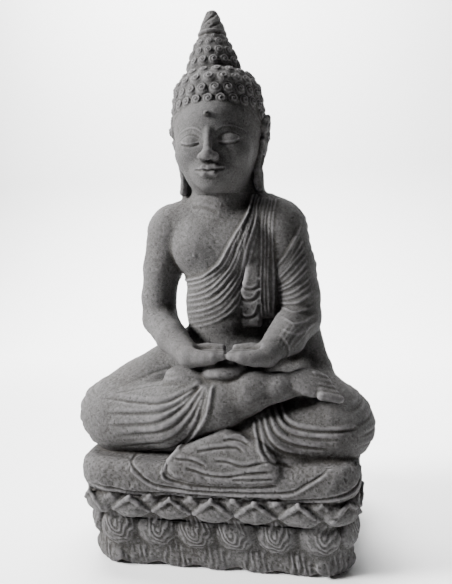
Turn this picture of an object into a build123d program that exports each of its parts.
from build123d import *
import math
import os

# A seated meditation Buddha of dark volcanic stone, built as a mason stacks and pins it:
# two courses of lotus plinth, a block for the crossed legs, a block for the torso with both
# arms, a head, and the finial of the hair, with a thin mortar bed and steel dowels at each
# joint, and a small round bead set in the forehead.
# Millimetres. +Z is up, the figure faces -Y, and +X is its left hand side. The origin is the
# centre of the underside of the plinth.

# ---- driving dimensions -------------------------------------------------------------------
TOTAL_HEIGHT = 500.0
BED = 1.2  # thickness of every mortar bed
BED_INSET = 5.0  # how far a bed stays behind the outline of the blocks it joins

PLINTH_JOINT = 46.0  # top of the lower lotus course
SEAT_TOP = 97.0  # top of the upper lotus course, where the legs rest
WAIST_JOINT = 168.0  # top of the legs block under the torso
NECK_JOINT = 331.0  # top of the neck stump
FINIAL_JOINT = 449.0  # top of the dome of hair

LOWER_WIDTH, LOWER_DEPTH = 242.0, 152.0
UPPER_WIDTH, UPPER_DEPTH = 264.0, 172.0
PLINTH_CORNER = 30.0  # corner radius of both courses in plan
PETAL_BAND_TOP = 72.0  # above this the upper course is a plain cushion
PETALS_FRONT, PETALS_SIDE = 6, 4  # on the long and the short faces of both courses

KNEE_X, KNEE_Y, KNEE_Z, KNEE_RADIUS = 101.0, -24.0, 128.0, 36.0
SHOULDER_X, SHOULDER_Z = 57.0, 294.0
ELBOW_X, ELBOW_Z = 69.0, 218.0
HAND_Y, HAND_Z = -62.0, 186.0

HAIR_CENTRE_Z, HAIR_HALF_WIDTH, HAIR_HALF_DEPTH, HAIR_HALF_HEIGHT = 405.0, 46.5, 50.0, 56.0
FACE_CENTRE_Z, FACE_HALF_WIDTH, FACE_HALF_DEPTH, FACE_HALF_HEIGHT = 379.0, 41.0, 46.0, 52.0
EAR_TOP_Z, EAR_LOBE_Z, EAR_X = 403.0, 336.0, 43.0

DOWEL_GAP = 0.25  # radial room round each dowel in its drilled socket
URNA_RADIUS, URNA_Y, URNA_Z = 2.6, -47.8, 397.0


# ---- shapes used more than once -----------------------------------------------------------
def capsule(start, end, start_radius, end_radius):
    """A round-ended tapered bar from start to end, made as one revolved solid."""
    a, b = Vector(*start), Vector(*end)
    length = (b - a).length
    # The cone touches both end spheres, so its edge meets each a little off the equator.
    tilt = math.asin((start_radius - end_radius) / length)
    low = (start_radius * math.cos(tilt), start_radius * math.sin(tilt))
    high = (end_radius * math.cos(tilt), length + end_radius * math.sin(tilt))
    bottom, top = (0, -start_radius), (0, length + end_radius)
    half = math.radians(45) - tilt / 2
    low_mid = (start_radius * math.cos(half - tilt), -start_radius * math.sin(half - tilt))
    half = math.radians(45) + tilt / 2
    high_mid = (end_radius * math.cos(half + tilt), length + end_radius * math.sin(half + tilt))
    outline = (
        ThreePointArc(bottom, low_mid, low)
        + Line(low, high)
        + ThreePointArc(high, high_mid, top)
        + Line(top, bottom)
    )
    bar = revolve(Plane.XZ * make_face(outline), Axis.Z)
    return Plane(origin=a, z_dir=b - a) * bar


def ellipsoid(centre, half_x, half_y, half_z):
    """A closed ellipsoid with the given half axes."""
    return Pos(*centre) * scale(Sphere(1), by=(half_x, half_y, half_z))


def rounded_slab(width, depth, low_z, high_z, corner):
    """A block with rounded corners in plan."""
    return Pos(0, 0, low_z) * extrude(RectangleRounded(width, depth, corner), high_z - low_z)


def rods(places, radius, low_z, high_z):
    """Upright round rods at (x, y) places."""
    height = high_z - low_z
    return [Pos(x, y, (low_z + high_z) / 2) * Cylinder(radius, height) for x, y in places]


def drilled(block, dowels):
    """The block with a socket for each dowel that reaches into it."""
    for places, radius, low_z, high_z in dowels:
        for rod in rods(places, radius + DOWEL_GAP, low_z - 1, high_z + 1):
            block = block - rod
    return block


def mirrored_pair(centre_x):
    """The two dowel places either side of the middle."""
    return [(-centre_x, 0), (centre_x, 0)]


# Each dowel set: places, rod radius, lower end, upper end.
PLINTH_DOWELS = (mirrored_pair(70), 6, 24, 70)
SEAT_DOWELS = (mirrored_pair(52), 6, 72, 122)
WAIST_DOWELS = (mirrored_pair(17), 5, 138, 200)
NECK_DOWEL = ([(0, 4)], 5, 300, 364)
FINIAL_DOWEL = ([(0, 2)], 3, 434, 468)
ALL_DOWELS = (PLINTH_DOWELS, SEAT_DOWELS, WAIST_DOWELS, NECK_DOWEL, FINIAL_DOWEL)


def slice_z(shape, low_z, high_z):
    """The part of a shape between two heights."""
    room = 2 * TOTAL_HEIGHT
    return shape & Pos(0, 0, (low_z + high_z) / 2) * Box(room, room, high_z - low_z)


# ---- the plinth ---------------------------------------------------------------------------
def petal_ring(width, depth, middle_z, half_height, stand_out):
    """Rounded petals standing out of the four sides of a plinth course."""
    sides = [(PETALS_FRONT, width, depth, 0), (PETALS_SIDE, depth, width, 90)]
    petals = []
    for count, run, across, turn in sides:
        pitch = (run - PLINTH_CORNER) / count
        for i in range(count):
            x = (i - (count - 1) / 2) * pitch
            for side in (-1, 1):
                centre = (x, side * (across / 2 - stand_out), middle_z)
                petal = ellipsoid(centre, 0.52 * pitch, 2 * stand_out, half_height)
                petals.append(Rot(0, 0, turn) * petal)
    return petals


def lower_lotus_block():
    """The lower course: a row of round rosette petals on a rounded block."""
    core = rounded_slab(LOWER_WIDTH, LOWER_DEPTH, 0, PLINTH_JOINT, PLINTH_CORNER)
    core = fillet(core.edges().group_by(Axis.Z)[0], 7)
    petals = petal_ring(LOWER_WIDTH, LOWER_DEPTH, 25, 18, 3)
    return drilled(core + petals, [PLINTH_DOWELS])


def upper_lotus_block():
    """The upper course: a band of lotus petals under a plain rounded cushion."""
    low = PLINTH_JOINT + BED
    band = rounded_slab(UPPER_WIDTH - 16, UPPER_DEPTH - 16, low, PETAL_BAND_TOP + 2, PLINTH_CORNER)
    cushion = rounded_slab(UPPER_WIDTH, UPPER_DEPTH, PETAL_BAND_TOP, SEAT_TOP, PLINTH_CORNER)
    cushion = fillet(cushion.edges().group_by(Axis.Z)[-1], 10)
    cushion = fillet(cushion.edges().group_by(Axis.Z)[0], 4)
    petals = petal_ring(UPPER_WIDTH - 16, UPPER_DEPTH - 16, 62, 24, 4)
    petals = [slice_z(p, low, PETAL_BAND_TOP + 2) for p in petals]
    return drilled(band + cushion + petals, [PLINTH_DOWELS, SEAT_DOWELS])


# ---- the figure ---------------------------------------------------------------------------
def stacked_ellipses(sections):
    """A smooth body through ellipses given as height, half width, half depth and centre y."""
    return loft([Pos(0, y, z) * Ellipse(a, b) for z, a, b, y in sections])


def thighs():
    """The two thighs, from the hips out to the knees."""
    right_knee = (-KNEE_X, KNEE_Y, KNEE_Z)
    left_knee = (KNEE_X, KNEE_Y, KNEE_Z - 3)
    right_thigh = capsule((-44, 14, 146), right_knee, 40, KNEE_RADIUS)
    left_thigh = capsule((44, 14, 146), left_knee, 40, KNEE_RADIUS)
    return right_thigh + left_thigh


def legs_block():
    """The crossed legs: seat, thighs, both shins, the upturned foot and the cloth in front."""
    seat = stacked_ellipses(
        [(SEAT_TOP, 92, 47, 17), (126, 94, 50, 15), (152, 80, 48, 11), (WAIST_JOINT, 64, 43, 8)]
    )
    upper_shin = capsule((-92, -34, 126), (70, -49, 142), 32, 18)
    lower_shin = capsule((90, -34, 122), (-44, -46, 116), 31, 20)
    foot = capsule((66, -47, 148), (108, -36, 151), 16, 10)
    cloth = capsule((-30, -44, 104), (30, -44, 104), 36, 35)
    legs = thighs() + seat + upper_shin + lower_shin + foot + cloth
    legs = slice_z(legs, SEAT_TOP + BED, WAIST_JOINT)
    return drilled(legs, [SEAT_DOWELS, WAIST_DOWELS])


def arm(side, upper_radius, elbow_radius):
    """One arm, from the shoulder down to the elbow and forward to the lap."""
    shoulder = (side * SHOULDER_X, 3, SHOULDER_Z)
    elbow = (side * ELBOW_X, 1, ELBOW_Z)
    wrist = (side * 30, HAND_Y + 8, HAND_Z)
    return capsule(shoulder, elbow, upper_radius, elbow_radius) + capsule(
        elbow, wrist, elbow_radius, 11
    )


def torso_block():
    """The trunk, shoulders and arms, with the robe filling the left side down to the hip."""
    sections = [
        (WAIST_JOINT + BED, 63, 42.5, 8),
        (184, 46, 37, 6),
        (204, 37, 33, 4),
        (232, 37, 33, 3),
        (257, 43, 36, 3),
        (280, 51, 38, 3),
        (300, 52, 36, 3),
        (318, 38, 30, 3),
        (NECK_JOINT, 30, 27, 2),
    ]
    trunk = stacked_ellipses(sections)
    shoulders = capsule((-50, 4, 299), (50, 4, 299), 22.5, 22)
    hands = capsule((-26, HAND_Y, HAND_Z - 3), (26, HAND_Y, HAND_Z - 3.5), 12, 11)
    sleeve = capsule((58, 7, 290), (67, 10, 198), 26, 23.5)
    hip_cloth = capsule((58, 14, 200), (80, 12, 158), 22, 24)
    body = trunk + shoulders + arm(-1, 19, 15.5) + arm(1, 21, 17) + hands + sleeve + hip_cloth
    body = slice_z(body + thighs(), WAIST_JOINT + BED, NECK_JOINT)
    return drilled(body, [WAIST_DOWELS, NECK_DOWEL])


def head_block():
    """The head: the dome of hair and the face as ellipsoids, long ears, and a short neck."""
    base = NECK_JOINT + BED
    hair = ellipsoid((0, 6, HAIR_CENTRE_Z), HAIR_HALF_WIDTH, HAIR_HALF_DEPTH, HAIR_HALF_HEIGHT)
    face = ellipsoid((0, -5, FACE_CENTRE_Z), FACE_HALF_WIDTH, FACE_HALF_DEPTH, FACE_HALF_HEIGHT)
    neck = Pos(0, 2, base) * extrude(Ellipse(29, 27), 30)
    shape = hair + face + neck
    for side in (-1, 1):
        top = (side * EAR_X, 4, EAR_TOP_Z - 6)
        lobe = (side * (EAR_X - 3), 2, EAR_LOBE_Z + 4)
        shape = shape + capsule(top, lobe, 6, 4.5)
    head = slice_z(shape, base, FINIAL_JOINT)
    return drilled(head, [NECK_DOWEL, FINIAL_DOWEL]) - urna_bead()


def ushnisha_finial():
    """The coil of hair on the crown: a stepped cone with a rounded tip."""
    outline = Polyline(
        (0, FINIAL_JOINT + BED),
        (27, FINIAL_JOINT + BED),
        (25, FINIAL_JOINT + 7),
        (18, FINIAL_JOINT + 20),
        (15, FINIAL_JOINT + 24),
        (13, FINIAL_JOINT + 32),
        (6, TOTAL_HEIGHT - 3),
        (4, TOTAL_HEIGHT),
        (0, TOTAL_HEIGHT),
        close=True,
    )
    cone = revolve(Plane.XZ * make_face(outline), Axis.Z)
    return drilled(cone, [FINIAL_DOWEL])


def urna_bead():
    """The small round bead set into the forehead."""
    return Pos(0, URNA_Y, URNA_Z) * Sphere(URNA_RADIUS)


# ---- mortar beds and dowels ---------------------------------------------------------------
def bed(outline, low_z, dowels):
    """A thin layer of mortar between two blocks, pierced by the dowels."""
    return drilled(Pos(0, 0, low_z) * extrude(outline, BED), [dowels])


def mortar_beds():
    """Every mortar bed, by name."""
    inner_corner = PLINTH_CORNER - BED_INSET
    plinth = RectangleRounded(
        LOWER_WIDTH - 2 * BED_INSET, LOWER_DEPTH - 2 * BED_INSET, inner_corner
    )
    return {
        "plinth_mortar_bed": bed(plinth, PLINTH_JOINT, PLINTH_DOWELS),
        "seat_mortar_bed": bed(Pos(0, 17) * Ellipse(86, 41), SEAT_TOP, SEAT_DOWELS),
        "waist_mortar_bed": bed(Pos(0, 8) * Ellipse(56, 36), WAIST_JOINT, WAIST_DOWELS),
        "neck_mortar_bed": bed(Pos(0, 2) * Ellipse(24, 22), NECK_JOINT, NECK_DOWEL),
        "finial_mortar_bed": bed(Circle(22), FINIAL_JOINT, FINIAL_DOWEL),
    }


DOWEL_NAMES = ("plinth_dowels", "seat_dowels", "waist_dowels", "neck_dowel", "finial_dowel")


def build():
    """Every node of the statue, by name."""
    nodes = {
        "lower_lotus_block": lower_lotus_block(),
        "upper_lotus_block": upper_lotus_block(),
        "legs_block": legs_block(),
        "torso_block": torso_block(),
        "head_block": head_block(),
        "ushnisha_finial": ushnisha_finial(),
        "urna_bead": urna_bead(),
    }
    nodes.update(mortar_beds())
    for name, dowels in zip(DOWEL_NAMES, ALL_DOWELS):
        nodes[name] = Compound(children=rods(*dowels))
    return nodes


os.makedirs("parts", exist_ok=True)
for name, shape in build().items():
    export_step(shape, f"parts/{name}.step")
